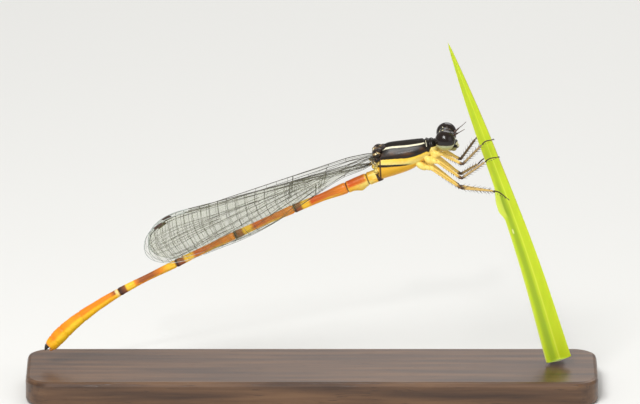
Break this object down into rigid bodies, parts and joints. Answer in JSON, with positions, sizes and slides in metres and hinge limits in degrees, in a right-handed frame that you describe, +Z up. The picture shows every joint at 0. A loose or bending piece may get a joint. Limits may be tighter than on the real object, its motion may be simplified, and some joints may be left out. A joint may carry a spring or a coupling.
{
  "type": "damselfly",
  "caption": "Life-size slender orange and yellow damselfly with folded clear wings, gripping a blade of grass on a small display stand.",
  "frame": {"origin": "centre of the underside of the stand's base", "axes": "+X towards the insect's head, -Y towards its right side, the side seen first, +Z up"},
  "size_m": [0.044, 0.0084, 0.0281],
  "materials": {
    "wood": "dark stained wood, satin",
    "steel": "satin steel rod",
    "grass": "fresh yellow-green leaf",
    "dark_shell": "black-brown horny skin, satin",
    "yellow_shell": "yellow horny skin with dark stripes, satin",
    "orange_shell": "orange-red horny skin with yellow bands, satin",
    "tail_shell": "bright orange horny skin, satin",
    "eye": "dark brown eye with a paler lower half, glossy",
    "leg": "yellow leg with dark joints, satin",
    "tarsus": "dark brown foot, satin",
    "membrane": "clear glossy membrane with dark veins"
  },
  "bodies": {
    "root": {"stand_base": "wood", "stand_rod": "steel", "perch_blade": "grass", "head": "dark_shell", "prothorax": "dark_shell", "thorax": "yellow_shell", "claspers": "dark_shell", "antenna_right": "dark_shell", "antenna_left": "dark_shell", "eye_right": "eye", "eye_left": "eye", "abdomen_01": "orange_shell", "abdomen_02": "orange_shell", "abdomen_03": "orange_shell", "abdomen_04": "orange_shell", "abdomen_05": "orange_shell", "abdomen_06": "orange_shell", "abdomen_07": "tail_shell", "abdomen_08": "tail_shell", "abdomen_09": "tail_shell", "abdomen_10": "tail_shell", "wing_fore_right": "membrane", "wing_fore_left": "membrane", "wing_hind_right": "membrane", "wing_hind_left": "membrane", "front_right_femur": "leg", "front_right_tibia": "leg", "front_right_tarsus": "tarsus", "front_left_femur": "leg", "front_left_tibia": "leg", "front_left_tarsus": "tarsus", "middle_right_femur": "leg", "middle_right_tibia": "leg", "middle_right_tarsus": "tarsus", "middle_left_femur": "leg", "middle_left_tibia": "leg", "middle_left_tarsus": "tarsus", "hind_right_femur": "leg", "hind_right_tibia": "leg", "hind_right_tarsus": "tarsus", "hind_left_femur": "leg", "hind_left_tibia": "leg", "hind_left_tarsus": "tarsus"}
  },
  "joints": []
}
